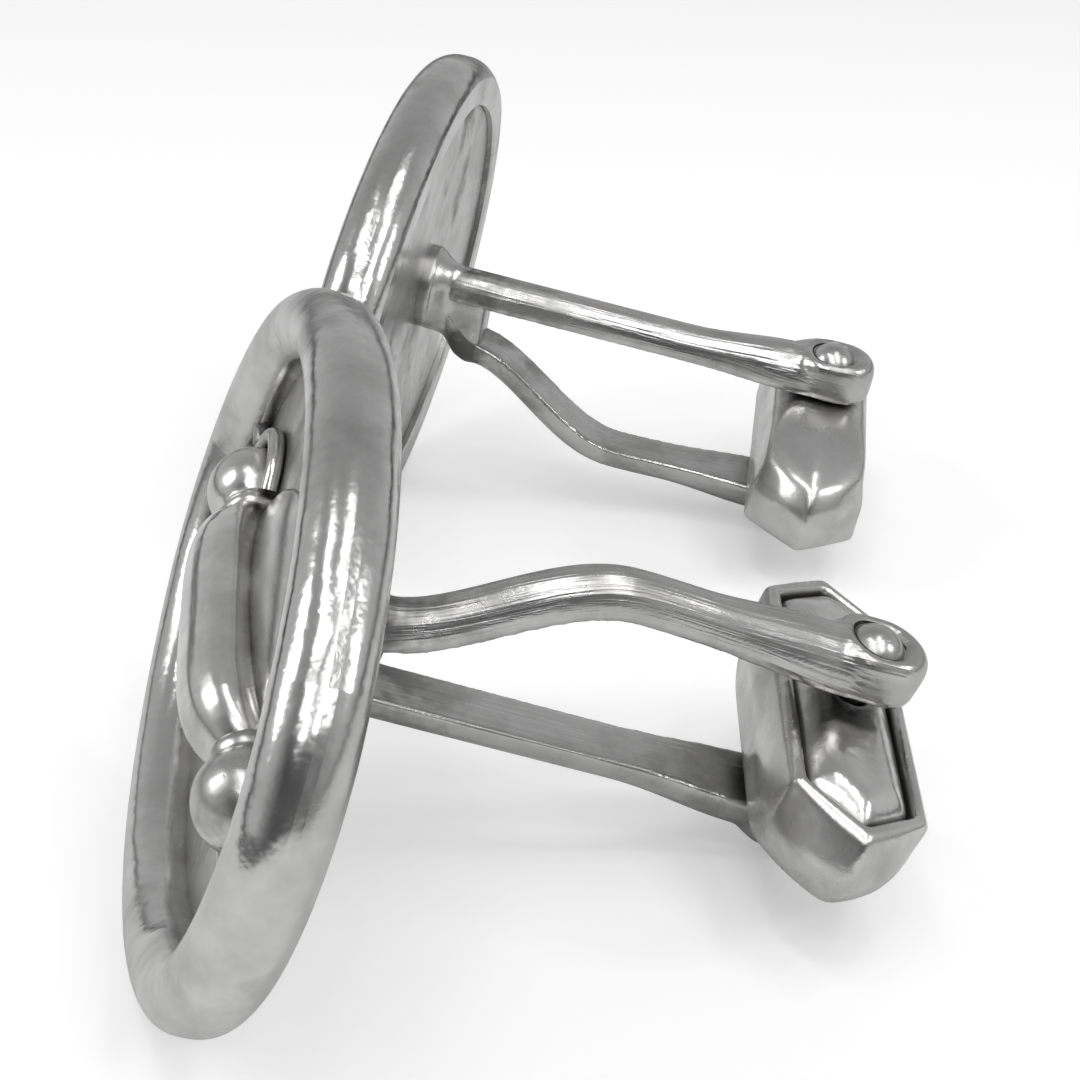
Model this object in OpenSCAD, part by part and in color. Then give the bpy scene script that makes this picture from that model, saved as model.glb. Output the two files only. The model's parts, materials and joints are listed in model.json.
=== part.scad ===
// A pair of oval stirrup cufflinks lying on their sides on a table.
// Each one has an oval ring round a recessed ornament, a fork of two legs and a swivelling toggle.
// Frame of one cufflink: X from the middle of the oval out of its back to the toggle,
// Y along the oval, Z along the rivet. The table is Z = 0 of the pair's own frame.

/* [Oval face] */
// Length of the oval over its ring
face_len = 26; // [23:0.5:29]
// Width of the oval over its ring
face_wid = 19.3; // [18:0.1:21]
// Width of the ring's band
band_wid = 2.36; // [2:0.02:2.8]
// Straight part between the rounded front and back of the band
band_flat = 0.28; // [0.1:0.02:0.6]
// Depth filed off the back of the band, where it lies on the cuff
land_cut = 0.12; // [0.05:0.01:0.2]
// Thickness of the back plate
plate_t = 0.6; // [0.4:0.05:0.8]
// Depth of the back plate below the filed land
plate_sink = 0.33; // [0.2:0.01:0.5]

/* [Ornament] */
// Half height of the middle bar across the oval
bar_half = 1.55; // [1.2:0.05:2]
// Half thickness of the middle bar, front to back
bar_deep = 1.2; // [0.9:0.05:1.4]
// Half height of the bar at its ends
bar_end = 0.85; // [0.5:0.05:1]
// Rise of the bar's middle over its ends
bar_bow = 0.85; // [0.4:0.05:1.2]
// Radius of the ball at each end of the bar
ball_r = 1.3; // [1:0.05:1.4]
// Length of the straps between a loop and the ring
strap_len = 1.09; // [0.6:0.01:1.6]
// Radius of the wire loop round each ball
loop_r = 2; // [1.8:0.05:2.1]
// Radius of the wire in the loops and straps
wire_r = 0.28; // [0.2:0.01:0.34]

/* [Fork] */
// Distance from the middle of the oval to the rivet
reach = 18.3; // [17.5:0.1:21]
// Gap between the two legs at the toggle
leg_gap = 4.8; // [4.6:0.05:5.2]
// Width of a leg
leg_wid = 2.05; // [1.8:0.05:2.6]
// Thickness of a leg from its flat to its crown
leg_t = 1.25; // [0.9:0.05:1.5]
// Height of the legs' seam over the middle of the oval
seam_z = -0.53; // [-1:0.01:0.5]
// Gap between the legs before the curved one bends out
root_gap = 1.7; // [1:0.05:2]
// Where the legs have parted to that gap
part_end = 3.6; // [3.2:0.1:4]
// Where the curved leg starts to bend out
jog_start = 3.3; // [2.6:0.1:4.2]
// Where the curved leg is parallel again
jog_end = 10.3; // [9:0.1:10.6]
// Rise of the curved leg's bend over its end
hump = 0.3; // [0:0.05:0.5]
// Radius of the eye at the end of each leg
eye_r = 1.42; // [1.3:0.02:2]
// Length that the eye runs on past the rivet
eye_past = 0.4; // [0.3:0.05:1]
// Thickness of the eye
eye_t = 1.8; // [1.5:0.05:2]
// Radius of the rounded edge of the eye
eye_round = 0.55; // [0.3:0.05:0.6]
// Length over which a leg grows into its eye
neck_len = 4.6; // [3:0.1:6]
// Radius of the foot that carries the legs
foot_r = 1.75; // [1.5:0.05:2.1]
// Thickness of the foot
foot_t = 0.55; // [0.4:0.05:0.8]

/* [Rivet and cam] */
// Radius of the rivet
pin_r = 0.55; // [0.45:0.01:0.65]
// Radius of the rivet's heads
head_r = 0.86; // [0.75:0.01:0.95]
// Height of a rivet head over the floor of its dish
head_h = 0.5; // [0.4:0.05:0.7]
// Radius of the dish that a head sits in
dish_r = 1.02; // [1:0.01:1.1]
// Depth of the dish
dish_deep = 0.28; // [0.2:0.01:0.4]
// Width of the square cam on the rivet, over its flats
cam_wid = 1.6; // [1.4:0.05:1.7]
// Radius over the cam's rounded corners
cam_corner = 0.95; // [0.9:0.01:0.98]

/* [Toggle] */
// Thickness of the toggle between the legs
toggle_t = 4; // [3.8:0.05:4.2]
// Length of the toggle's recess from point to point
rec_len = 12.2; // [11:0.1:12.6]
// Length of the recess's straight sides
rec_side = 9.6; // [8:0.1:10]
// Width of the recess
rec_wid = 3.54; // [3.3:0.02:3.9]
// Depth of the recess
rec_deep = 0.64; // [0.6:0.02:0.9]
// Width of the rim round the recess
rim_wid = 0.52; // [0.45:0.01:0.8]
// Chamfer on the outer edge of the rim
rim_chamfer = 0.2; // [0.1:0.01:0.3]
// Bevel on the inner edge of the rim
rim_bevel = 0.12; // [0.06:0.01:0.16]
// Swell of the toggle's ends half way down
bow_swell = 0.55; // [0.2:0.05:0.6]
// Swell of its end facets, out of flat
facet_swell = 0.3; // [0.1:0.05:0.4]
// Depth of the hollow under the cover
hollow_deep = 2.2; // [1.8:0.05:2.4]
// Width of the ledge under the cover
ledge_wid = 0.45; // [0.35:0.01:0.5]
// Height of the cover at its edge
cover_edge = 0.24; // [0.15:0.01:0.35]
// Height of the cover at its crown
cover_crown = 0.58; // [0.4:0.01:0.59]
// Thickness of a leaf spring
leaf_t = 0.18; // [0.12:0.01:0.2]

/* [How the pair lies] */
// Turn of the front cufflink about its stem, as it leans on the oval's edge
front_roll = 10; // [0:0.5:14]
// Turn of the rear cufflink about its stem
rear_roll = 7; // [0:0.5:14]
// Turn of the rear cufflink on the table
rear_yaw = -19.4; // [-30:0.1:0]
// Turn of the front toggle from straight across its legs
front_turn = -7.5; // [-20:0.5:20]
// Turn of the rear toggle from straight across its legs
rear_turn = -3; // [-20:0.5:20]
// Place of the front oval along the pair's X
front_x = -11.8; // [-16:0.1:-6]
// Place of the front oval along the pair's Y
front_y = -14; // [-18:0.1:-10]
// Distance of the rear oval from the front one along X
rear_dx = 7.6; // [6:0.1:12]
// Distance of the rear oval from the front one along Y
rear_dy = 28.7; // [27:0.1:34]

/* [Hidden] */
// Running clearance at the rivet, in the cheeks
run_gap = 0.05;
// Seat clearance of pieces that are soldered or riveted fast
seat_gap = 0.02;
// Clearance between the toggle and the straight leg, and round the cam
side_gap = 0.06;
// Overrun of every cut
over = 1;
// Width of the ring's rebate that the back plate sits in
seat_lip = 0.5;
// Radius of the rounded edge of the foot
foot_round = 0.25;
// Radius of the bead between a ball and the bar
bead_r = 0.32;
// Radius of the collar that the bead runs round
collar_r = 0.62;
// Half of the space between the two straps of a pair
strap_off = 0.42;
// Gap between a loop's ends and the bar
loop_gap = 0.15;
// Clearance between the cam's corners and a leaf spring
leaf_gap = 0.04;
// Depth shares of the toggle where its walls start to narrow and where they meet its domed back
narrow_from_share = 0.45;
back_from_share = 0.74;
// Shares of its width and length that are left there, and of those at the top of the dome
back_wid_share = 0.8;
back_len_share = 0.9;
dome_share = 0.35;
// Power that the bar falls away by towards its ends
bar_power = 5;
// Power that the walls narrow by, and the slope of the domed back at its edge
narrow_power = 1.6;
back_turn = 62;
// Share of the cover's half width that its rounded edge takes up, and the turn of that edge
pillow_share = 0.8;
pillow_turn = 75;

band_deep = band_wid + band_flat;
land_x = band_deep / 2 - land_cut;
plate_back = land_x - plate_sink;
plate_front = plate_back - plate_t;
ball_at = face_len / 2 - band_wid - seat_gap - strap_len - wire_r - loop_r;
foot_top = plate_back + foot_t;

// The oval is four arcs, and a 3 : 4 : 5 triangle gives their centres
arc_step = (face_len - face_wid) / 4;
end_arc = face_wid / 2 - arc_step;
side_arc = end_arc + 5 * arc_step;
end_cx = 3 * arc_step;
side_off = 4 * arc_step;

bar_tip = ball_at - ball_r - bead_r;
pivot_z = seam_z + leg_gap / 2;
rivet_floor = leg_gap / 2 + eye_t - dish_deep;
toggle_z = side_gap + toggle_t / 2 - leg_gap / 2;
ledge_z = toggle_t / 2 - rec_deep;
hollow_z = ledge_z - hollow_deep;
cam_t = hollow_deep - 2 * side_gap;
leaf_x = cam_corner + leaf_gap;
rec_tip = rec_len / 2;
rec_shoulder = rec_side / 2;
rec_half = rec_wid / 2;
tip_ang = atan2(rec_half, rec_tip - rec_shoulder);

// Counts of steps along and round the swept pieces
leg_steps = 30;
dome_steps = 12;
bar_steps = 22;
round_steps = 20;
wall_steps = 8;
back_steps = 5;
facet_steps = 4;
pillow_steps = 5;
plan_steps = 12;
$fn = 64;

// 0 to 1 with level ends
function smooth(t) = let (u = min(1, max(0, t))) u * u * (3 - 2 * u);

// Height of the curved leg's flat over the straight leg's flat
function jog(x) = root_gap * smooth((x - foot_top) / (part_end - foot_top))
    + (leg_gap + hump - root_gap) * smooth((x - jog_start) / (jog_end - jog_start))
    - hump * smooth((x - jog_end) / (reach - jog_end));
function jog_ang(x) = let (e = leg_wid / leg_steps) atan2(jog(x + e) - jog(x - e), 2 * e);

// Each leg grows into its eye at the end
function neck(x) = smooth((x - reach + eye_r + neck_len) / neck_len);
function leg_w(x) = leg_wid + (2 * eye_r - eye_round / 2 - leg_wid) * neck(x);
function leg_h(x) = leg_t + (eye_t - eye_round / 4 - leg_t) * neck(x);

// Domed section of a leg at x; side is 1 for the curved leg and -1 for the straight one
function leg_ring(x, side) =
    let (z = side > 0 ? jog(x) : 0,
         t = leg_h(x) / (side > 0 ? cos(jog_ang(x)) : 1))
    [for (k = [0 : dome_steps])
        let (q = 90 - side * (90 - 180 * k / dome_steps))
        [x, leg_w(x) / 2 * cos(q), seam_z + z + side * t * sin(q)]];

// Share of the bar's swell and bow at y: nearly level, then down quickly at the ends
function bar_share(y) = 1 - pow(abs(y) / bar_tip, bar_power);
function bar_ring(y) =
    let (s = bar_share(y),
         rz = bar_end + (bar_half - bar_end) * s,
         rx = bar_end + (bar_deep - bar_end) * s,
         cx = plate_front - bar_end / 2 - bar_bow * s)
    [for (k = [0 : round_steps - 1])
        let (q = 360 * k / round_steps)
        [min(plate_front, cx + rx * cos(q)), y, -rz * sin(q)]];

// Corners of the toggle's hexagon, moved out by r
function hexagon(r) =
    let (w = rec_half + r, s = rec_shoulder + r * tan(tip_ang / 2), t = rec_tip + r / sin(tip_ang))
    [[w, s], [0, t], [-w, s], [-w, -s], [0, -t], [w, -s]];
function hex_ring(r, z) = [for (p = hexagon(r)) [p.x, p.y, z]];

// Ring k of the toggle: its depth, and the shares of its width and length that are left there.
// The walls stand straight, then narrow down to the edge of a domed back.
function hull_share(k) = k <= wall_steps
    ? let (d = back_from_share * k / wall_steps,
           u = max(0, d - narrow_from_share) / (back_from_share - narrow_from_share))
      [d, 1 - (1 - back_wid_share) * pow(u, narrow_power), 1 - (1 - back_len_share) * pow(u, narrow_power)]
    : let (u = (k - wall_steps) / back_steps,
           s = 1 - (1 - dome_share) * u,
           h = (cos(asin(s * sin(back_turn))) - cos(back_turn))
               / (cos(asin(dome_share * sin(back_turn))) - cos(back_turn)))
      [back_from_share + (1 - back_from_share) * h, back_wid_share * s, back_len_share * s];
function hull_corner(k, d, in = 0) =
    let (swell = bow_swell * sin(90 * min(1, d.x / narrow_from_share)),
         w = (rec_half + rim_wid - in) * d.y,
         s = (rec_shoulder + (rim_wid - in) * tan(tip_ang / 2)) * d.z,
         t = (rec_tip + (rim_wid - in) / sin(tip_ang) + swell) * d.z)
    [[w, s], [0, t], [-w, s], [-w, -s], [0, -t], [w, -s]][k % 6];
function hull_ring(d, in = 0) =
    [for (k = [0 : 5], i = [0 : facet_steps - 1])
        let (a = hull_corner(k, d, in), b = hull_corner(k + 1, d, in), u = i / facet_steps,
             out = k % 3 == 2 ? 0 : facet_swell * sin(180 * d.x) * sin(180 * u),
             n = [b.y - a.y, a.x - b.x] / norm(b - a),
             p = a + (b - a) * u + out * n)
        [p.x, p.y, toggle_t * (0.5 - d.x)]];

// Lowest point of a lying oval under its middle, at a roll and a tilt
function oval_low(roll, tilt) =
    -(side_arc - band_wid / 2 - side_off * cos(roll)) * cos(tilt) - band_wid / 2
    - band_flat / 2 * abs(sin(tilt));
// Lowest point of the rounded end of an eye; side is 1 where the straight leg is below
function fork_low(side, roll, tilt) =
    let (c = cos(roll) * cos(tilt))
    (side * pivot_z - leg_gap / 2 - eye_t + eye_round) * c - (reach + eye_past) * sin(tilt)
    - (eye_r - eye_round) * sqrt(1 - c * c) - eye_round;
// Tilt at which the oval and the fork touch the table together, by halving
function rest_tilt(side, roll, low = 0, high = 45, n = 30) =
    n == 0 ? (low + high) / 2 :
    let (m = (low + high) / 2)
    oval_low(roll, m) < fork_low(side, roll, m) ? rest_tilt(side, roll, m, high, n - 1)
                                                : rest_tilt(side, roll, low, m, n - 1);
front_tilt = rest_tilt(1, front_roll);
rear_tilt = rest_tilt(-1, rear_roll);

// Closed solid through rings of points, each with as many points as the next
module skin(rings) {
    n = len(rings[0]);
    m = len(rings);
    sides = [for (i = [0 : m - 2], j = [0 : n - 1])
        let (k = (j + 1) % n)
        each [[i * n + j, (i + 1) * n + j, (i + 1) * n + k], [i * n + j, (i + 1) * n + k, i * n + k]]];
    ends = [for (j = [0 : n - 1])
        let (k = (j + 1) % n)
        each [[m * n, j, k], [m * n + 1, (m - 1) * n + k, (m - 1) * n + j]]];
    middles = [for (r = [rings[0], rings[m - 1]]) [for (p = r) 1] * r / n];
    polyhedron(concat([for (r = rings) each r], middles), concat(sides, ends), convexity = 6);
}

// Plan drawn in XY, raised along Z, stood up so that it faces along the stem
module face_frame() rotate([90, 0, 90]) children();
module at_front() translate([front_x, front_y, -oval_low(front_roll, front_tilt)])
    rotate([front_roll, front_tilt, 0]) children();
module at_rear() translate([front_x + rear_dx, front_y + rear_dy, -oval_low(rear_roll, rear_tilt)])
    rotate([180 + rear_roll, rear_tilt, rear_yaw]) children();
module at_rivet() translate([reach, 0, pivot_z]) children();
// The toggle lies against the straight leg, and its open face looks to the curved one
module at_toggle(turn) at_rivet() translate([0, 0, toggle_z]) rotate(turn) children();
// Top and bottom of the toggle or fork, mirrored about the middle of the rivet
module each_end() for (m = [0, 1]) mirror([0, 0, m]) children();

// Half profile of a disc with a flat bottom and a rounded top edge
module disc_profile(r, t, edge) {
    square([r - edge, t]);
    square([r, t - edge]);
    translate([r - edge, t - edge]) circle(edge);
}
module rounded_disc(r, t, edge) rotate_extrude() disc_profile(r, t, edge);

// Section of the ring's band: rounded front, filed back and the rebate for the plate
module band_section() difference() {
    union() {
        for (s = [-1, 1]) translate([0, s * band_flat / 2]) circle(band_wid / 2);
        square([band_wid, band_flat], center = true);
    }
    translate([-band_wid, land_x]) square([2 * band_wid, band_wid]);
    translate([-band_wid, plate_front]) square([band_wid / 2 + seat_lip, band_wid]);
}

// One arc of the ring about its centre, cut out of a full turn by a 3 : 4 wedge
module ring_arc(radius, wedge) intersection() {
    rotate_extrude() translate([radius - band_wid / 2, 0]) band_section();
    linear_extrude(2 * band_deep, center = true) polygon(wedge);
}

module oval_ring() color("silver") face_frame() for (half = [0, 180]) rotate(half) {
    far = face_len / 4;
    translate([end_cx, 0]) ring_arc(end_arc, [[0, 0], [3 * far, 4 * far], [3 * far, -4 * far]]);
    translate([0, -side_off]) ring_arc(side_arc, [[0, 0], [3 * far, 4 * far], [-3 * far, 4 * far]]);
}

// Outline of the oval, inset evenly: a quarter turn round the end, then round the side
function oval_plan(inset) =
    let (turn = atan2(4, 3),
         quarter = [for (k = [0 : plan_steps - 1])
                        let (q = turn * k / plan_steps)
                        [end_cx + (end_arc - inset) * cos(q), (end_arc - inset) * sin(q)],
                    for (k = [0 : plan_steps])
                        let (q = turn + (90 - turn) * k / plan_steps)
                        [(side_arc - inset) * cos(q), (side_arc - inset) * sin(q) - side_off]],
         n = len(quarter))
    [for (p = quarter) p,
     for (k = [n - 2 : -1 : 0]) [-quarter[k].x, quarter[k].y],
     for (k = [1 : n - 1]) -quarter[k],
     for (k = [n - 2 : -1 : 1]) [quarter[k].x, -quarter[k].y]];

module back_plate() color("gainsboro") face_frame() translate([0, 0, plate_front])
    linear_extrude(plate_t) polygon(oval_plan(band_wid - seat_lip + seat_gap));

module middle_bar() color("silver")
    skin([for (i = [0 : bar_steps]) bar_ring(-bar_tip * cos(180 * i / bar_steps))]);

// Ball with a bead and collar towards the bar, cut flat where it lies on the plate
module ball_knot() color("silver") intersection() {
    translate([plate_front - bar_end / 2, ball_at, 0]) rotate([90, 0, 0]) rotate_extrude() intersection() {
        union() {
            circle(ball_r);
            translate([0, ball_r - bead_r]) square([collar_r, 2 * bead_r]);
            translate([collar_r, ball_r]) circle(bead_r);
        }
        translate([0, -ball_r]) square([2 * ball_r, 2 * ball_r + bead_r]);
    }
    translate([plate_front - 4 * ball_r, 0, -2 * ball_r]) cube([4 * ball_r, face_len / 2, 4 * ball_r]);
}

// Loop of wire open where the bar passes through
module ball_loop() color("silver") {
    open = asin((bar_end + loop_gap + wire_r) / loop_r);
    face_frame() translate([ball_at, 0, plate_front - wire_r]) rotate(open - 180)
        rotate_extrude(angle = 360 - 2 * open) translate([loop_r, 0]) circle(wire_r);
}

// Two straps from the loop out to the ring
module ball_straps() color("silver") {
    from = ball_at + loop_r + wire_r;
    to = face_len / 2 - band_wid;
    for (s = [-1, 1]) translate([plate_front - wire_r, from, s * strap_off])
        rotate([-90, 0, 0]) cylinder(h = to - from - seat_gap, r = wire_r);
}

module foot() color("silver") translate([plate_back, 0, seam_z]) rotate([0, 90, 0])
    rounded_disc(foot_r, foot_t, foot_round);

// Oblong eye of a leg, seen from the middle of the rivet, before its bore
module eye_blank() translate([0, 0, leg_gap / 2]) {
    for (x = [0, eye_past]) translate([x, 0, 0]) rounded_disc(eye_r, eye_t, eye_round);
    rotate([90, 0, 90]) linear_extrude(eye_past) for (m = [0, 1]) mirror([m, 0])
        disc_profile(eye_r, eye_t, eye_round);
}
module eye_cuts() {
    cylinder(h = leg_gap + eye_t + over, r = pin_r + seat_gap);
    translate([0, 0, rivet_floor]) cylinder(h = dish_deep + over, r = dish_r);
}

module straight_leg() color("silver") difference() {
    union() {
        skin([for (i = [0 : leg_steps]) leg_ring(foot_top + (reach - foot_top) * i / leg_steps, -1)]);
        at_rivet() mirror([0, 0, 1]) eye_blank();
    }
    at_rivet() mirror([0, 0, 1]) eye_cuts();
}

module curved_leg() color("silver") difference() {
    union() {
        skin([for (i = [0 : leg_steps]) leg_ring(foot_top + (reach - foot_top) * i / leg_steps, 1)]);
        at_rivet() eye_blank();
    }
    at_rivet() eye_cuts();
}

module rivet() color("whitesmoke") at_rivet() {
    cylinder(h = 2 * rivet_floor, r = pin_r, center = true);
    dome_r = (head_r * head_r + head_h * head_h) / (2 * head_h);
    each_end() translate([0, 0, rivet_floor]) rotate_extrude() intersection() {
        translate([0, head_h - dome_r]) circle(dome_r);
        square([head_r, head_h]);
    }
}

// Rounded square on the rivet that the leaf springs snap against
module cam() color("gray") translate([0, 0, hollow_z + side_gap]) difference() {
    linear_extrude(cam_t) intersection() {
        square(cam_wid, center = true);
        circle(cam_corner);
    }
    cylinder(h = 2 * cam_t + over, r = pin_r + seat_gap, center = true);
}

// Boat-shaped shell: an open hexagonal face with a rim, straight sides and a domed back
module toggle_shell() color("silver") difference() {
    skin([for (k = [wall_steps + back_steps : -1 : 1]) hull_ring(hull_share(k)),
          hull_ring([rim_chamfer / toggle_t, 1, 1]), hull_ring([0, 1, 1], rim_chamfer)]);
    translate([0, 0, hollow_z]) linear_extrude(toggle_t) polygon(hexagon(-ledge_wid));
    translate([0, 0, ledge_z]) linear_extrude(rec_deep + over) polygon(hexagon(0));
    skin([hex_ring(-rim_bevel, toggle_t / 2 - 2 * rim_bevel),
          hex_ring(2 * rim_bevel, toggle_t / 2 + rim_bevel)]);
    cylinder(h = toggle_t + over, r = pin_r + run_gap, center = true);
}

// Pillow-shaped cover of the shell's hollow, with the rivet's running bore
module toggle_cover() color("gainsboro") difference() {
    crown = cover_crown - cover_edge;
    skin([hex_ring(-seat_gap, ledge_z),
          for (k = [0 : pillow_steps])
              let (u = pillow_turn * k / pillow_steps)
              hex_ring(-seat_gap - pillow_share * rec_half * (1 - cos(u)),
                       ledge_z + cover_edge + crown * sin(u) / sin(pillow_turn))]);
    cylinder(h = toggle_t, r = pin_r + run_gap, center = true);
}

// One leaf each side of the cam, along the hollow of the toggle
module leaf_springs() color("dimgray") for (s = [-1, 1])
    translate([s * (leaf_x + leaf_t / 2), 0, hollow_z + side_gap + cam_t / 2])
        cube([leaf_t, rec_side - 2 * ledge_wid, cam_t], center = true);

module front_oval_ring() at_front() oval_ring();
module front_back_plate() at_front() back_plate();
module front_middle_bar() at_front() middle_bar();
module front_upper_ball() at_front() ball_knot();
module front_lower_ball() at_front() mirror([0, 1, 0]) ball_knot();
module front_upper_loop() at_front() ball_loop();
module front_lower_loop() at_front() mirror([0, 1, 0]) ball_loop();
module front_upper_straps() at_front() ball_straps();
module front_lower_straps() at_front() mirror([0, 1, 0]) ball_straps();
module front_foot() at_front() foot();
module front_straight_leg() at_front() straight_leg();
module front_curved_leg() at_front() curved_leg();
module front_rivet() at_front() rivet();
module front_cam() at_front() at_toggle(0) cam();
module front_toggle_shell() at_front() at_toggle(front_turn) toggle_shell();
module front_toggle_cover() at_front() at_toggle(front_turn) toggle_cover();
module front_leaf_springs() at_front() at_toggle(front_turn) leaf_springs();

module rear_oval_ring() at_rear() oval_ring();
module rear_back_plate() at_rear() back_plate();
module rear_middle_bar() at_rear() middle_bar();
module rear_upper_ball() at_rear() ball_knot();
module rear_lower_ball() at_rear() mirror([0, 1, 0]) ball_knot();
module rear_upper_loop() at_rear() ball_loop();
module rear_lower_loop() at_rear() mirror([0, 1, 0]) ball_loop();
module rear_upper_straps() at_rear() ball_straps();
module rear_lower_straps() at_rear() mirror([0, 1, 0]) ball_straps();
module rear_foot() at_rear() foot();
module rear_straight_leg() at_rear() straight_leg();
module rear_curved_leg() at_rear() curved_leg();
module rear_rivet() at_rear() rivet();
module rear_cam() at_rear() at_toggle(0) cam();
module rear_toggle_shell() at_rear() at_toggle(rear_turn) toggle_shell();
module rear_toggle_cover() at_rear() at_toggle(rear_turn) toggle_cover();
module rear_leaf_springs() at_rear() at_toggle(rear_turn) leaf_springs();

front_oval_ring();
front_back_plate();
front_middle_bar();
front_upper_ball();
front_lower_ball();
front_upper_loop();
front_lower_loop();
front_upper_straps();
front_lower_straps();
front_foot();
front_straight_leg();
front_curved_leg();
front_rivet();
front_cam();
front_toggle_shell();
front_toggle_cover();
front_leaf_springs();
rear_oval_ring();
rear_back_plate();
rear_middle_bar();
rear_upper_ball();
rear_lower_ball();
rear_upper_loop();
rear_lower_loop();
rear_upper_straps();
rear_lower_straps();
rear_foot();
rear_straight_leg();
rear_curved_leg();
rear_rivet();
rear_cam();
rear_toggle_shell();
rear_toggle_cover();
rear_leaf_springs();
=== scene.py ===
"""A pair of worn silver stirrup cufflinks, lying on their sides on a white floor."""
import json
import math

import bmesh
import bpy
import numpy as np
from mathutils import Matrix, Vector


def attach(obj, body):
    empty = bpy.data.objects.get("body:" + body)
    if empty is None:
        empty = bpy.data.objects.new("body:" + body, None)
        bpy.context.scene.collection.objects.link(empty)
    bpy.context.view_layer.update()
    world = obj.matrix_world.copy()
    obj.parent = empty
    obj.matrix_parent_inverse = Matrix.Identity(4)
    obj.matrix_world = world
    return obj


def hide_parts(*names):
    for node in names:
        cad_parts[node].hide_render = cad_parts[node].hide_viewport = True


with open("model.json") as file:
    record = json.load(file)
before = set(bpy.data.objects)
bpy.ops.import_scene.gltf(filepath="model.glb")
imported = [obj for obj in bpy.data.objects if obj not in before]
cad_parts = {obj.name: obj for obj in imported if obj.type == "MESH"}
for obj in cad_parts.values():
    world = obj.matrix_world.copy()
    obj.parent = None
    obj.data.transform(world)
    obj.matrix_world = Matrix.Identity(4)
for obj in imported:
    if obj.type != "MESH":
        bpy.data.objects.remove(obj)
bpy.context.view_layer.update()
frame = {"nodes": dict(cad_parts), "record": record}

# Lengths are in millimetres, but what the camera sees, the floor and the lamps have theirs in metres
MM = 0.001
QUARTER_TURN = 0.5 * math.pi
RECORD = frame["record"]
NODES = frame["nodes"]
# Body of each CAD node
BODY_OF = {node: body for body, members in RECORD["behaviour"]["bodies"].items() for node in members}
LINKS = ("front", "rear")


# Camera
# The place, the turn and the lens were fitted to the photograph. The turn is a rotation vector.
CAMERA_PLACE = Vector((-12.72, -66.85, 38.37)) * MM
CAMERA_TURN = Vector((2.027, -0.1599, 0.1243))
LENS = 67.18
SENSOR_WIDTH = 36.0
NEAREST = 1 * MM
FARTHEST = 20.0


def add_camera():
    """The photograph's view: a camera fitted to both ovals, legs and toggles."""
    data = bpy.data.cameras.new("camera")
    data.sensor_width = SENSOR_WIDTH
    data.lens = LENS
    data.clip_start = NEAREST
    data.clip_end = FARTHEST
    camera = bpy.data.objects.new("camera", data)
    bpy.context.scene.collection.objects.link(camera)
    rows = Matrix.Rotation(CAMERA_TURN.length, 3, CAMERA_TURN.normalized())
    axes = Matrix((rows[0], -rows[1], -rows[2])).transposed()
    camera.matrix_world = Matrix.Translation(CAMERA_PLACE) @ axes.to_4x4()
    bpy.context.scene.camera = camera


# Node graphs
class Graph:
    """Short calls for a material's or the world's nodes."""

    def __init__(self, tree):
        self.tree = tree
        tree.nodes.clear()

    def add(self, kind, **values):
        """A new node. Each value goes to the node's own setting or, if it has none, to its input."""
        node = self.tree.nodes.new(kind)
        for key, value in values.items():
            if hasattr(node, key):
                setattr(node, key, value)
            else:
                self.put(node, key, value)
        return node

    def put(self, node, key, value):
        """Links or sets an input. An input without a name of its own is i0, i1 and so on."""
        socket = node.inputs[int(key[1:])] if key[0] == "i" and key[1:].isdigit() else node.inputs[key]
        if isinstance(value, bpy.types.NodeSocket):
            self.tree.links.new(value, socket)
        else:
            socket.default_value = value

    def math(self, op, a, b, clamp=False):
        return self.add("ShaderNodeMath", operation=op, use_clamp=clamp, i0=a, i1=b).outputs[0]

    def noise(self, vector, scale, detail, roughness):
        values = {"Vector": vector, "Scale": scale, "Detail": detail, "Roughness": roughness}
        return self.add("ShaderNodeTexNoise", **values).outputs["Fac"]

    def ramp(self, value, span, start=0.0, end=1.0):
        """Maps the span of the value to start and end, and holds it beyond both."""
        node = self.add("ShaderNodeMapRange", clamp=True, Value=value)
        for key, x in (("From Min", span[0]), ("From Max", span[1]), ("To Min", start), ("To Max", end)):
            node.inputs[key].default_value = x
        return node.outputs[0]

    def mix(self, fac, a, b):
        return self.add("ShaderNodeMix", data_type="RGBA", i0=fac, i6=a, i7=b).outputs[2]

    def stretched(self, vector, **values):
        return self.add("ShaderNodeMapping", Vector=vector, **values).outputs[0]

    def bump(self, height, strength, depth, under=None, invert=False):
        """Relief, with its depth in millimetres, on top of the relief under it."""
        values = {"Height": height, "Strength": strength, "Distance": depth * MM}
        node = self.add("ShaderNodeBump", invert=invert, **values)
        if under:
            self.put(node, "Normal", under)
        return node.outputs[0]


def grey(tone, warm):
    """A grey with a little more red and less blue, by the share warm."""
    return (tone * (1 + warm), tone, tone * (1 - warm), 1.0)


# Materials
# Noises of the silver, as scale, detail and roughness
BROAD = (230.0, 2.0, 0.5)
BLOTCH = (420.0, 4.0, 0.6)
SMUDGES = (260.0, 5.0, 0.62)
SPECKS = (3600.0, 3.0, 0.6)
LINE = (1.0, 2.0, 0.5)

# Spans of a noise, or of how open a corner is, in which each effect comes in
CORNER_SPAN = (0.2, 0.9)
STAIN_AND_SHADE_SPAN = (0.3, 0.62)
SMUDGE_SPAN = (0.56, 0.7)
ROOT_BLOTCH_SPAN = (0.4, 0.58)
TONE_SPAN = (0.38, 0.62)
WEAR_SPAN = (0.35, 0.75)
SCRATCH_SPAN = (0.6, 0.72)
DRAWN_SPAN = (0.4, 0.6)

# Tarnish and painted shade in the corners: their least share, the rays that find the corners, and how much
# rougher they make the metal
LEAST_STAIN_AND_SHADE = 0.45
CORNER_RAYS = 8
STAIN_AND_SHADE_ROUGHNESS = 0.22
# Stain at the root of a leg, and from where to where it fades out, from the cuff face
ROOT_STAIN = 0.8
ROOT_SPAN = (2.5, 6.5)
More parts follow.
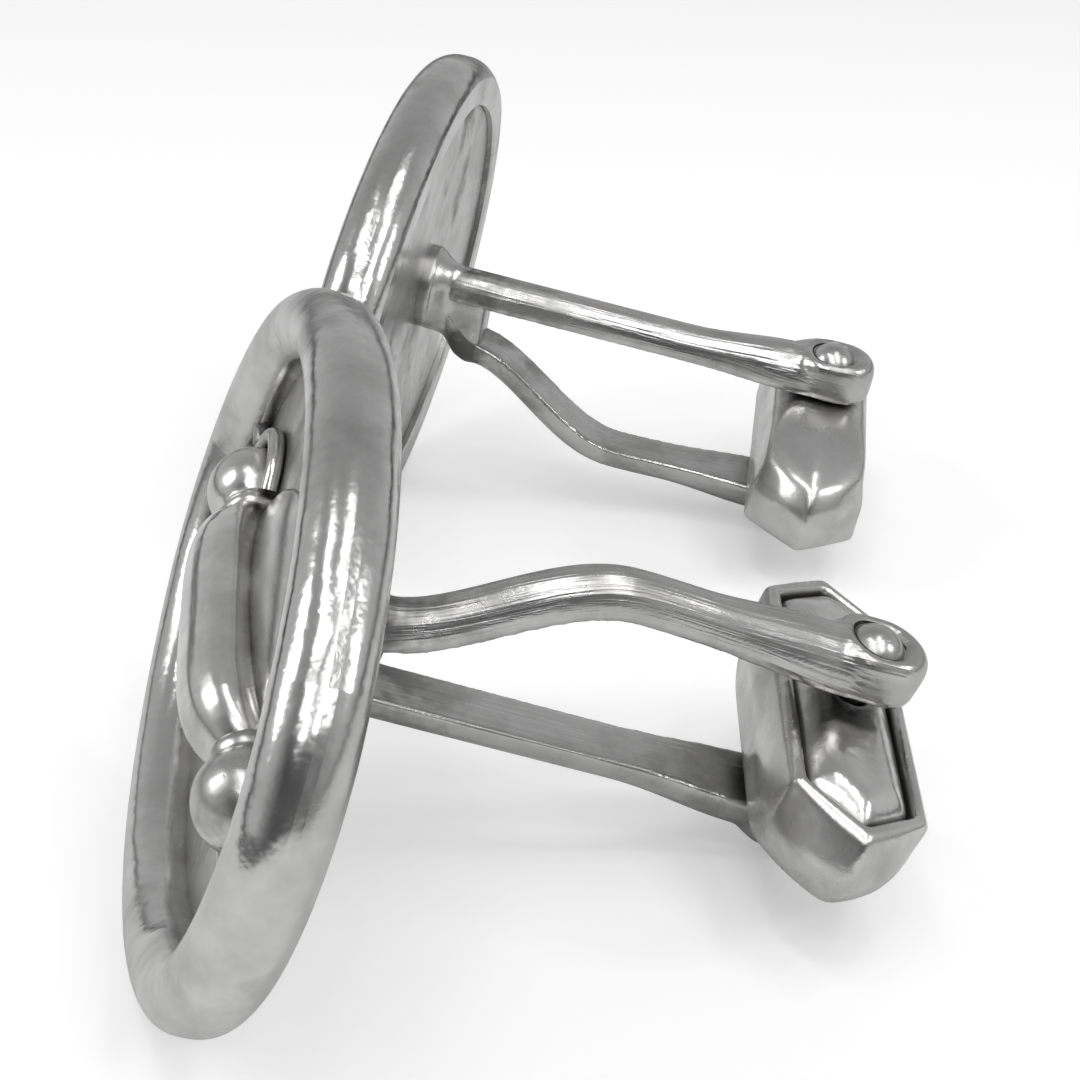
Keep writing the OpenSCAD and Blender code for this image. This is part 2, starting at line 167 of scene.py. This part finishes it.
# Tone of the dull patches as a share of the clean metal's, and warmth of clean metal, of dull metal and of
# the dark tone of stains and painted shade
DULL_SHARE = 0.8
CLEAN_WARMTH = 0.005
DULL_WARMTH = 0.008
STAIN_AND_SHADE_WARMTH = 0.02

# Depths of the relief in millimetres, and the blotches' share of the waves' strength
BROAD_DEPTH = 0.13
BLOTCH_DEPTH = 0.06
BLOTCH_SHARE = 0.7
SCRATCH_DEPTH = 0.006
SPECK_DEPTH = 0.0028
DRAWN_DEPTH = 0.06
# Turn and stretch of the two sets of crossing scratches
CROSSED = (((0.3, 0.5, 0.2), (5200.0, 260.0, 5200.0)), ((0.1, -0.6, 1.1), (300.0, 6100.0, 5000.0)))
# Stretch of the fine and the finer lines that are drawn along a leg
DRAWN = ((0.12, 5.0, 1.0), (0.3, 12.0, 1.0))
# Name of the map that runs along a leg, in millimetres, and round it
ALONG_LEG = "along_leg"


def corner_tarnish_and_shade(g, place, blotch, tarnish_and_shade, reach, smudge):
    """How dark each place is: tarnish and painted shade in the corners, and smudges."""
    # Ambient occlusion darkens corners and the gaps between parts: partly the silver's tarnish, partly
    # painted shade
    corner = g.add("ShaderNodeAmbientOcclusion", samples=CORNER_RAYS, Distance=reach * MM).outputs["AO"]
    depth = g.ramp(corner, CORNER_SPAN, 1.0, 0.0)
    stain_and_shade = g.math("MULTIPLY", depth, g.ramp(blotch, STAIN_AND_SHADE_SPAN, LEAST_STAIN_AND_SHADE, 1.0))
    stain_and_shade = g.math("MULTIPLY", stain_and_shade, tarnish_and_shade)
    patch = g.ramp(g.noise(place, *SMUDGES), SMUDGE_SPAN, 0.0, smudge)
    return g.math("MAXIMUM", stain_and_shade, patch, clamp=True)


def root_stain(g, unrolled, blotch):
    """The dark blotches where a leg starts."""
    along = g.add("ShaderNodeSeparateXYZ", Vector=unrolled).outputs[0]
    return g.math("MULTIPLY", g.ramp(along, ROOT_SPAN, ROOT_STAIN, 0.0), g.ramp(blotch, ROOT_BLOTCH_SPAN))


def relief(g, place, blotch, wave, scratch):
    """Waves from the hand finish, crossing scratches and fine specks."""
    normal = g.bump(g.noise(place, *BROAD), wave, BROAD_DEPTH)
    normal = g.bump(blotch, BLOTCH_SHARE * wave, BLOTCH_DEPTH, normal)
    lines = []
    for turn, stretch in CROSSED:
        along = g.stretched(place, Rotation=turn, Scale=stretch)
        lines.append(g.ramp(g.noise(along, *LINE), SCRATCH_SPAN))
    normal = g.bump(g.math("MAXIMUM", *lines), scratch, SCRATCH_DEPTH, normal, invert=True)
    return g.bump(g.noise(place, *SPECKS), scratch, SPECK_DEPTH, normal)


def drawn_lines(g, unrolled, drawn, normal):
    """The lines that run along a leg."""
    for stretch in DRAWN:
        line = g.ramp(g.noise(g.stretched(unrolled, Scale=stretch), *LINE), DRAWN_SPAN)
        normal = g.bump(line, drawn, DRAWN_DEPTH / stretch[1], normal)
    return normal


def silver(name, light=0.7, dark=0.1, rough=0.16, wear=0.1, wave=0.5, scratch=0.5, tarnish_and_shade=0.7, reach=1.3,
           smudge=0.3, drawn=0.0):
    """Worn silver.

    light is the tone of clean metal, and dark that of tarnished metal, which also stands for painted shade
    in corners. rough is the least roughness, and wear what worn spots have more. reach is how many
    millimetres the tarnish and painted shade grow out of a corner. wave, scratch, the corner tarnish and
    painted shade, smudge and drawn are strengths, and drawn is for legs only.
    """
    mat = bpy.data.materials.new(name)
    mat.use_nodes = True
    g = Graph(mat.node_tree)
    place = g.add("ShaderNodeTexCoord").outputs["Object"]
    blotch = g.noise(place, *BLOTCH)
    stain_and_shade = corner_tarnish_and_shade(g, place, blotch, tarnish_and_shade, reach, smudge)
    normal = relief(g, place, blotch, wave, scratch)
    if drawn:
        unrolled = g.add("ShaderNodeUVMap", uv_map=ALONG_LEG).outputs[0]
        stain_and_shade = g.math("MAXIMUM", stain_and_shade, root_stain(g, unrolled, blotch))
        normal = drawn_lines(g, unrolled, drawn, normal)
    clean, dull = grey(light, CLEAN_WARMTH), grey(light * DULL_SHARE, DULL_WARMTH)
    tone = g.mix(g.ramp(blotch, TONE_SPAN), clean, dull)
    # The dark tone covers tarnish, smudges and root stains, and the shade painted into corners
    colour = g.mix(stain_and_shade, tone, grey(dark, STAIN_AND_SHADE_WARMTH))
    uneven = g.ramp(blotch, WEAR_SPAN, rough, rough + wear)
    uneven = g.math("ADD", uneven, g.math("MULTIPLY", stain_and_shade, STAIN_AND_SHADE_ROUGHNESS))
    shader = g.add("ShaderNodeBsdfPrincipled", Metallic=1.0, Normal=normal, Roughness=uneven)
    g.put(shader, "Base Color", colour)
    g.add("ShaderNodeOutputMaterial", Surface=shader.outputs[0])
    return mat


# The finishes, and which of them each sub-part has
FINISH = {
    "ring": silver("ring_silver", rough=0.15, wear=0.16, wave=1.4, scratch=0.15, tarnish_and_shade=0.5),
    "plate": silver("plate_silver", light=0.62, rough=0.26, wear=0.15, tarnish_and_shade=0.8, reach=1.6, smudge=0.75),
    # The bar's silver is lighter than the other parts': a painted reflection that brightens its lit face
    "bar": silver("bar_silver", light=0.84, scratch=0.2, tarnish_and_shade=0.8, reach=0.9),
    "ball": silver("ball_silver", light=0.78, rough=0.2, wave=1.0, scratch=0.3, tarnish_and_shade=0.8, reach=0.8,
                   smudge=0.5),
    "wire": silver("wire_silver", rough=0.2, tarnish_and_shade=0.8, reach=0.8),
    # The legs' corner darkening reaches 2.2 mm, so their roots and the ends by the toggle darken: tarnish
    # and painted shade
    "leg": silver("leg_silver", light=0.66, rough=0.2, wear=0.12, wave=0.4, scratch=0.25, tarnish_and_shade=0.85,
                  reach=2.2, smudge=0.35, drawn=0.75),
    "root": silver("root_silver", light=0.66, rough=0.22, wave=0.6, scratch=0.2, tarnish_and_shade=0.9, reach=2.2,
                   smudge=0.5),
    "toggle": silver("toggle_silver", light=0.73, rough=0.22, scratch=0.2, tarnish_and_shade=0.8, reach=0.8,
                     smudge=0.2),
    "cover": silver("cover_silver", light=0.78, rough=0.17, wear=0.12, wave=2.0, scratch=0.2, tarnish_and_shade=0.9,
                    reach=0.6, smudge=0.2),
    # The rivet's strong corner darkening puts tarnish and painted shade into the dish round each head
    "rivet": silver("rivet_silver", rough=0.2, wave=0.9, tarnish_and_shade=0.9, reach=0.6),
    # Near black: the ring of painted shade in the dish round each rivet head
    "painted_shade_ring": silver("painted_shade_ring", light=0.05, dark=0.03, rough=0.6, wave=0.3, scratch=0.3),
    "steel": silver("spring_steel", light=0.45, rough=0.3, tarnish_and_shade=0.4),
}
FINISH_OF = {
    "oval_ring": "ring",
    "back_plate": "plate",
    "middle_bar": "bar",
    "upper_ball": "ball",
    "lower_ball": "ball",
    "upper_loop": "wire",
    "lower_loop": "wire",
    "upper_straps": "wire",
    "lower_straps": "wire",
    "foot": "root",
    "straight_leg": "leg",
    "curved_leg": "leg",
    "rivet": "rivet",
    "cam": "steel",
    "toggle_shell": "toggle",
    "toggle_cover": "cover",
    "leaf_springs": "steel",
}


# A cufflink's own axes
def named(rows, name):
    """The row that has the name."""
    return next(row for row in rows if row["name"] == name)


def link_frame(link):
    """A cufflink's own axes in the pair's: X along the stem from the cuff face, Z along the rivet, from
    the middle of the oval. The second value is the rivet's middle in them, in millimetres."""
    hinge = named(RECORD["behaviour"]["joints"], link + "_toggle_swivel")
    face = named(RECORD["mounts"], link + "_cuff_face")
    stem, up = Vector(face["axis"]), Vector(hinge["axis"])
    side = up.cross(stem)
    land, rivet = Vector(face["pos_m"]), Vector(hinge["pos_m"])
    origin = land + side * side.dot(rivet - land)
    place = Matrix.Translation(origin) @ Matrix((stem, side, up)).transposed().to_4x4()
    return place, place.inverted() @ rivet / MM


def coords(mesh):
    """The points of a mesh, in its own units."""
    co = np.empty(len(mesh.vertices) * 3)
    mesh.vertices.foreach_get("co", co)
    return co.reshape(-1, 3)


def own_coords(mesh, link):
    """The points of a mesh in millimetres, in the cufflink's own axes."""
    back = np.array(link_frame(link)[0].inverted())
    return coords(mesh) @ back[:3, :3].T + back[:3, 3] / MM


def set_own(mesh, link, own):
    """The reverse of own_coords."""
    place = np.array(link_frame(link)[0])
    mesh.vertices.foreach_set("co", (own @ place[:3, :3].T + place[:3, 3] / MM).ravel())


def own_mesh(name, link, points, faces):
    """A new mesh in millimetres, from points in the cufflink's own axes."""
    place = link_frame(link)[0]
    mesh = bpy.data.meshes.new(name)
    mesh.from_pydata([place @ (Vector(point) * MM) / MM for point in points], [], faces)
    return mesh


# Meshes
# Points that are closer than this are welded
WELD = 1e-4
# How far each pass of rubbing takes a point toward the middle of its neighbours
RUB_STEP = 0.5


def merged(meshes):
    """One welded mesh in millimetres out of several meshes in metres."""
    bm = bmesh.new()
    for mesh in meshes:
        bm.from_mesh(mesh)
    bmesh.ops.remove_doubles(bm, verts=bm.verts, dist=WELD * MM)
    bmesh.ops.scale(bm, verts=bm.verts, vec=(1 / MM,) * 3)
    out = bpy.data.meshes.new("merged")
    bm.to_mesh(out)
    bm.free()
    return out


def node_coords(link, part):
    """The points of a CAD node in the cufflink's own axes."""
    return own_coords(merged([NODES[link + "_" + part].data]), link)


def remeshed(mesh, voxel):
    """The mesh rebuilt out of small even squares, so that it can be rubbed."""
    blank = bpy.data.objects.new("blank", mesh)
    bpy.context.scene.collection.objects.link(blank)
    blank.modifiers.new("remesh", "REMESH").voxel_size = voxel
    depsgraph = bpy.context.evaluated_depsgraph_get()
    done = bpy.data.meshes.new_from_object(blank.evaluated_get(depsgraph))
    bpy.data.objects.remove(blank)
    bpy.data.meshes.remove(mesh)
    return done


def rub(mesh, passes, share):
    """Rubs edges round. share is each point's part in it, from 0 to 1."""
    co = coords(mesh)
    n = len(co)
    ends = np.empty(len(mesh.edges) * 2, dtype=np.int32)
    mesh.edges.foreach_get("vertices", ends)
    a, b = ends.reshape(-1, 2).T
    count = np.bincount(np.concatenate((a, b)), minlength=n).clip(1)[:, None]
    for _ in range(passes):
        total = [np.bincount(a, co[b, k], n) + np.bincount(b, co[a, k], n) for k in range(3)]
        co += RUB_STEP * share[:, None] * (np.stack(total, 1) / count - co)
    mesh.vertices.foreach_set("co", co.ravel())


def ease(t):
    """A smooth step from 0 to 1."""
    t = np.clip(t, 0, 1)
    return t * t * (3 - 2 * t)


def add_piece(name, mesh_mm, body, finish):
    """A piece out of a mesh in millimetres, which rides a body."""
    mesh_mm.transform(Matrix.Scale(MM, 4))
    mesh_mm.materials.clear()
    mesh_mm.materials.append(FINISH[finish])
    mesh_mm.shade_smooth()
    piece = bpy.data.objects.new(name, mesh_mm)
    bpy.context.scene.collection.objects.link(piece)
    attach(piece, body)
    return piece


# Legs
# A leg's share of the rubbing, and how far before the rivet it starts to grow to the whole, and over what
LEG_RUB = 0.5
EYE_RUB_FROM = 4.5
EYE_RUB_OVER = 3.0
# How far before the rivet a leg starts to widen into its eye and where it is as wide as the eye, and the
# steps in which its width is taken
FLARE_FROM = 5.4
FLARE_TO = 1.4
FLARE_STEP = 0.1
# Length of the slices in which a leg's middle is found, the weights that smooth them, and what is added
# to the height over the middle, so that the turn round the leg stays steady near it
SLICE = 0.5
SMOOTH = (0.25, 0.5, 0.25)
MIDDLE_LIFT = 0.3


def leg_share(own, link):
    """Legs are rubbed well, and most where they grow into their eyes."""
    from_eye = own[:, 0] - link_frame(link)[1].x
    return LEG_RUB + (1 - LEG_RUB) * ease((from_eye + EYE_RUB_FROM) / EYE_RUB_OVER)


def flared_leg(own, link):
    """The leg widens into its eye in one sweep, with no neck between the two."""
    from_eye = own[:, 0] - link_frame(link)[1].x
    bins = np.round((from_eye + FLARE_FROM) / FLARE_STEP).astype(int)
    count = bins.max() + 1
    wide = np.zeros(count)
    np.maximum.at(wide, bins.clip(0), np.abs(own[:, 1]))
    wide[0] = wide[1]
    x = np.arange(count) * FLARE_STEP - FLARE_FROM
    swept = wide[0] + (wide.max() - wide[0]) * ease((x + FLARE_FROM) / (FLARE_FROM - FLARE_TO))
    gain = np.where(x < 0, np.maximum(1, swept / wide), 1)
    out = own.copy()
    out[:, 1] *= np.where(bins > 0, gain[bins.clip(0)], 1)
    return out


def unroll(mesh, own):
    """Writes the map that the drawn lines of a leg follow."""
    start = own[:, 0].min()
    slices = ((own[:, 0] - start) / SLICE).astype(int)
    top = np.full(slices.max() + 1, -np.inf)
    bottom = -top
    np.maximum.at(top, slices, own[:, 2])
    np.minimum.at(bottom, slices, own[:, 2])
    middles = np.convolve(np.pad((top + bottom) / 2, 1, mode="edge"), SMOOTH, mode="valid")
    middle = np.interp(own[:, 0], start + (np.arange(len(middles)) + 0.5) * SLICE, middles)
    height = np.abs(own[:, 2] - middle) + MIDDLE_LIFT
    spots = np.stack((own[:, 0], np.arctan2(own[:, 1], height)), 1)
    corners = np.empty(len(mesh.loops), dtype=np.int32)
    mesh.loops.foreach_get("vertex_index", corners)
    mesh.uv_layers.new(name=ALONG_LEG).data.foreach_set("uv", spots[corners].ravel())


# Toggle
# Where the toggle's back starts, as a share of its depth, how much wider it gets at the end, and the power
# that keeps this near the end
BACK_FROM = 0.6
BACK_GAIN = 0.6
BACK_POWER = 1.5
# The rim's share of the rubbing, and the depth where it starts to grow to the whole, and over what
RIM_RUB = 0.3
RIM_DEPTH = 0.4
RIM_FADE = 0.6
# Normal of the toggle's end edges, across and along it, and how far in from the edges the pillow reaches
# its crown, and how much higher it is there, as a share of its height
END_NORMAL = np.array((0.592, 0.806))
PILLOW_SLOPE = 1.0
PILLOW_RISE = 0.65


def along_toggle(own, link):
    """Places from the rivet, and the directions along and across the toggle."""
    off = own[:, :2] - link_frame(link)[1].to_2d()
    across, along = np.linalg.eigh(np.cov(off.T))[1].T
    return off, along, across


def full_back(own, link):
    """The toggle's back keeps its width nearly up to the eye, as in the photo."""
    depth = own[:, 2].max() - own[:, 2]
    share = np.clip((depth / depth.max() - BACK_FROM) / (1 - BACK_FROM), 0, 1)
    off, along, across = along_toggle(own, link)
    out = own.copy()
    out[:, :2] += np.outer((off @ across) * BACK_GAIN * share ** BACK_POWER, across)
    return out


def shell_share(own, link):
    """The rim of the toggle keeps more of its edges than the facets below it."""
    depth = own[:, 2].max() - own[:, 2]
    return RIM_RUB + (1 - RIM_RUB) * ease((depth - RIM_DEPTH) / RIM_FADE)


def pillow(own, link):
    """The cover swells from its edges to a high crown."""
    off, along, across = along_toggle(own, link)
    flat = np.stack((off @ across, off @ along), 1)
    inside = np.full(len(own), np.inf)
    for normal in ((1, 0), END_NORMAL, END_NORMAL * (1, -1)):
        reach = np.abs(flat @ normal)
        inside = np.minimum(inside, reach.max() - reach)
    slope = np.sin(QUARTER_TURN * np.clip(inside / PILLOW_SLOPE, 0, 1))
    low = own[:, 2].min()
    out = own.copy()
    out[:, 2] = low + (own[:, 2] - low) * (1 + PILLOW_RISE * slope)
    return out


# Ornament
BALL_GAIN = 1.18


def fuller_ball(own, link):
    """The photographed balls are a little fuller than the CAD ones."""
    middle = (own.min(0) + own.max(0)) / 2
    return middle + (own - middle) * BALL_GAIN


def as_made(own, link):
    """The shape stays as it is."""
    return own


def even_share(own, link):
    """All points are rubbed alike."""
    return np.ones(len(own))


# Worn copies
# Voxel in millimetres, shaping, passes of rubbing, and each point's share of it
WORN = {
    "straight_leg": (0.08, flared_leg, 40, leg_share),
    "curved_leg": (0.08, flared_leg, 40, leg_share),
    "toggle_shell": (0.07, full_back, 44, shell_share),
    "toggle_cover": (0.06, pillow, 60, even_share),
    "middle_bar": (0.07, as_made, 12, even_share),
    "upper_ball": (0.06, fuller_ball, 6, even_share),
    "lower_ball": (0.06, fuller_ball, 6, even_share),
}


def add_worn(link, part):
    """A copy of a CAD node with its edges rubbed round, as on the real casting."""
    node = link + "_" + part
    voxel, shape, passes, share = WORN[part]
    mesh = remeshed(merged([NODES[node].data]), voxel)
    set_own(mesh, link, shape(own_coords(mesh, link), link))
    rub(mesh, passes, share(own_coords(mesh, link), link))
    if part.endswith("leg"):
        unroll(mesh, own_coords(mesh, link))
    piece = add_piece(node + "_worn", mesh, BODY_OF[node], FINISH_OF[part])
    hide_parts(node)
    return piece


# Solder
# Where its flare and its web end, from the cuff face, and the web's share of the legs' width
FLARE_END = 0.8
WEB_END = 2.5
WEB_WIDTH_SHARE = 0.9
# Its voxel, its passes of rubbing and its swell after them
ROOT_VOXEL = 0.08
ROOT_PASSES = 50
ROOT_SWELL = 0.04


def hull_of(meshes, link, end, width_share):
    """The hull of what the meshes have before the end, in metres, narrowed to a share of its width."""
    mesh = merged(meshes)
    own = own_coords(mesh, link)
    own[:, 1] *= width_share
    set_own(mesh, link, own)
    bm = bmesh.new()
    bm.from_mesh(mesh)
    bmesh.ops.delete(bm, geom=[v for v, x in zip(bm.verts, own[:, 0]) if x > end], context="VERTS")
    hull = bmesh.ops.convex_hull(bm, input=bm.verts)
    bmesh.ops.delete(bm, geom=hull["geom_interior"], context="VERTS")
    bmesh.ops.scale(bm, verts=bm.verts, vec=(MM,) * 3)
    bm.to_mesh(mesh)
    bm.free()
    return mesh


def add_solder(link, legs):
    """The solder that flares from the legs' roots to the foot, and fills the crotch between the legs."""
    roots = [leg.data for leg in legs]
    flare = hull_of(roots + [NODES[link + "_foot"].data], link, FLARE_END, 1.0)
    web = hull_of(roots, link, WEB_END, WEB_WIDTH_SHARE)
    mesh = remeshed(merged([flare, web]), ROOT_VOXEL)
    rub(mesh, ROOT_PASSES, np.ones(len(mesh.vertices)))
    normals = np.empty(len(mesh.vertices) * 3)
    mesh.vertex_normals.foreach_get("vector", normals)
    mesh.vertices.foreach_set("co", coords(mesh).ravel() + normals * ROOT_SWELL)
    piece = add_piece(link + "_solder", mesh, BODY_OF[link + "_foot"], "root")


# Boss
BOSS_HALF_LENGTH = 5.4
BOSS_HALF_WIDTH = 4.0
BOSS_RISE = 0.95
BOSS_RINGS = 16
BOSS_TURNS = 64


def add_boss(link):
    """The polished dome on the plate, behind the bar."""
    front = node_coords(link, "back_plate")[:, 0].min()
    points, faces = [(front - BOSS_RISE, 0.0, 0.0)], []
    for k in range(1, BOSS_RINGS + 1):
        lean = QUARTER_TURN * k / BOSS_RINGS
        height, out = BOSS_RISE * math.cos(lean), math.sin(lean)
        ring = 1 + (k - 1) * BOSS_TURNS
        for j in range(BOSS_TURNS):
            turn = math.tau * j / BOSS_TURNS
            points.append((front - height, BOSS_HALF_LENGTH * out * math.cos(turn),
                           BOSS_HALF_WIDTH * out * math.sin(turn)))
            a, b = ring + j, ring + (j + 1) % BOSS_TURNS
            faces.append((0, b, a) if k == 1 else (a - BOSS_TURNS, b - BOSS_TURNS, b, a))
    mesh = own_mesh(link + "_boss", link, points, faces)
    # The boss has the bar's finish, with its painted reflection
    piece = add_piece(link + "_boss", mesh, BODY_OF[link + "_back_plate"], "bar")


# Painted shade round the rivet heads
# Radius and half thickness of the dark ring of painted shade at the foot of each rivet head, and its steps
SHADE_RING_RADIUS = 0.94
SHADE_RING_HALF = 0.09
SHADE_RING_TURNS = 40
SHADE_RING_ROUNDS = 8
# Height of the domed heads of the rivet
HEAD_HEIGHT = 0.5


def add_painted_shade_ring(link):
    """A dark ring of painted shade where each head of the rivet sits in its dish."""
    rivet = link_frame(link)[1]
    ends = node_coords(link, "rivet")[:, 2]
    for name, end in (("top", ends.max()), ("bottom", ends.min())):
        foot = end - math.copysign(HEAD_HEIGHT, end - rivet.z)
        points, faces = [], []
        for i in range(SHADE_RING_TURNS):
            turn = math.tau * i / SHADE_RING_TURNS
            here, after = i * SHADE_RING_ROUNDS, (i + 1) % SHADE_RING_TURNS * SHADE_RING_ROUNDS
            for j in range(SHADE_RING_ROUNDS):
                lean = math.tau * j / SHADE_RING_ROUNDS
                out = SHADE_RING_RADIUS + SHADE_RING_HALF * math.cos(lean)
                points.append((rivet.x + out * math.cos(turn), rivet.y + out * math.sin(turn),
                               foot + SHADE_RING_HALF * math.sin(lean)))
                k = (j + 1) % SHADE_RING_ROUNDS
                faces.append((here + j, after + j, after + k, here + k))
        mesh = own_mesh("painted_shade_ring", link, points, faces)
        piece = add_piece(link + "_grime_" + name, mesh, BODY_OF[link + "_rivet"], "painted_shade_ring")


# All pieces
def add_pieces():
    """The worn copies and the added pieces of both cufflinks, and the finish of each CAD node."""
    for link in LINKS:
        # A dark ring of painted shade round each rivet head
        add_painted_shade_ring(link)
        worn = {part: add_worn(link, part) for part in WORN}
        add_solder(link, [worn["straight_leg"], worn["curved_leg"]])
        add_boss(link)
    for node, obj in NODES.items():
        part = node.split("_", 1)[1]
        for slot in obj.material_slots:
            slot.material = FINISH[FINISH_OF[part]]


# Floor
FLOOR_HALF = 3.0
FLOOR_DROP = 0.02 * MM
FLOOR_TONE = 0.8
# Light that the floor adds where the camera sees it, so that it shows white
FLOOR_LIFT = 0.36


def add_floor():
    """A white floor that keeps the soft shadow of the pair."""
    mesh = bpy.data.meshes.new("floor")
    s = FLOOR_HALF
    mesh.from_pydata([(-s, -s, 0), (s, -s, 0), (s, s, 0), (-s, s, 0)], [], [(0, 1, 2, 3)])
    floor = bpy.data.objects.new("floor", mesh)
    floor.location.z = -FLOOR_DROP
    bpy.context.scene.collection.objects.link(floor)
    mat = bpy.data.materials.new("floor")
    mat.use_nodes = True
    g = Graph(mat.node_tree)
    seen = g.add("ShaderNodeLightPath").outputs["Is Camera Ray"]
    diffuse = g.add("ShaderNodeBsdfDiffuse", Color=grey(FLOOR_TONE, 0.0))
    lift = g.add("ShaderNodeEmission", Strength=g.math("MULTIPLY", seen, FLOOR_LIFT))
    both = g.add("ShaderNodeAddShader", i0=diffuse.outputs[0], i1=lift.outputs[0])
    g.add("ShaderNodeOutputMaterial", Surface=both.outputs[0])
    mesh.materials.append(mat)


# World
# The wall and the dark skirting at its foot: each one's span of height, and its light at both ends of it
WALL_SPAN = (0.1, 0.95)
WALL_LIGHT = (0.54, 0.32)
SKIRTING_SPAN = (0.05, 0.12)
SKIRTING_LIGHT = (0.02, 1.0)
# The dark patch behind the camera: where it lies, the cosines from there at which it starts and is full,
# and its light at both
PATCH_TOWARD = (-0.16, -0.88, 0.45)
PATCH_SPAN = (0.6, 0.93)
PATCH_LIGHT = (1.0, 0.16)


def add_world():
    """A plain grey room with a dark skirting, darker behind the camera. To the camera it shows white."""
    world = bpy.data.worlds.new("room")
    bpy.context.scene.world = world
    world.use_nodes = True
    g = Graph(world.node_tree)
    ray = g.add("ShaderNodeTexCoord").outputs["Generated"]
    up = g.add("ShaderNodeSeparateXYZ", Vector=ray).outputs[2]
    wall = g.ramp(up, WALL_SPAN, *WALL_LIGHT)
    skirting = g.ramp(up, SKIRTING_SPAN, *SKIRTING_LIGHT)
    toward = g.add("ShaderNodeVectorMath", operation="DOT_PRODUCT", i0=ray, i1=PATCH_TOWARD)
    shade = g.ramp(toward.outputs["Value"], PATCH_SPAN, *PATCH_LIGHT)
    level = g.math("MULTIPLY", g.math("MULTIPLY", wall, skirting), shade)
    level = g.math("MAXIMUM", level, g.add("ShaderNodeLightPath").outputs["Is Camera Ray"])
    back = g.add("ShaderNodeBackground", Color=(1.0, 1.0, 1.0, 1.0), Strength=level)
    g.add("ShaderNodeOutputWorld", Surface=back.outputs[0])


# Lamps
LAMP_AIM = Vector((0.0, 0.0, 0.008))
# Rows of strips overhead: how many, the strips' places across, the first row's place from front to back
# and its height, how much nearer and lower each next row is, and how far every other row is shifted
ROWS = 4
STRIPS_X = (-0.06, 0.09)
FIRST_ROW_Y = -0.03
FIRST_ROW_Z = 0.30
ROW_NEARER = 0.075
ROW_LOWER = 0.02
ROW_SHIFT = 0.03
STRIP_SIZE = (0.1, 0.026)
STRIP_WATTS = 0.064
# Place, size and watts of the panels at the sides
PANELS = {
    "left": ((-0.26, 0.02, 0.20), (0.10, 0.14), 0.22),
    "right": ((0.24, -0.10, 0.16), (0.05, 0.07), 0.1),
}


def add_panel(name, place, size, watts):
    """A flat lamp that faces the pair."""
    data = bpy.data.lights.new(name, "AREA")
    data.shape = "RECTANGLE"
    data.size, data.size_y = size
    data.energy = watts
    lamp = bpy.data.objects.new(name, data)
    lamp.location = place
    lamp.rotation_euler = (LAMP_AIM - Vector(place)).to_track_quat("-Z", "Y").to_euler()
    bpy.context.scene.collection.objects.link(lamp)


def add_lights():
    """Rows of strip lamps overhead, a soft panel on the left and a small one at the right."""
    for k in range(ROWS):
        for x in STRIPS_X:
            place = (x + ROW_SHIFT * (k % 2), FIRST_ROW_Y - ROW_NEARER * k, FIRST_ROW_Z - ROW_LOWER * k)
            add_panel("strip", place, STRIP_SIZE, STRIP_WATTS)
    for name, (place, size, watts) in PANELS.items():
        add_panel(name, place, size, watts)


add_camera()
add_pieces()
add_floor()
add_world()
add_lights()
bpy.context.scene.view_settings.view_transform = "Standard"
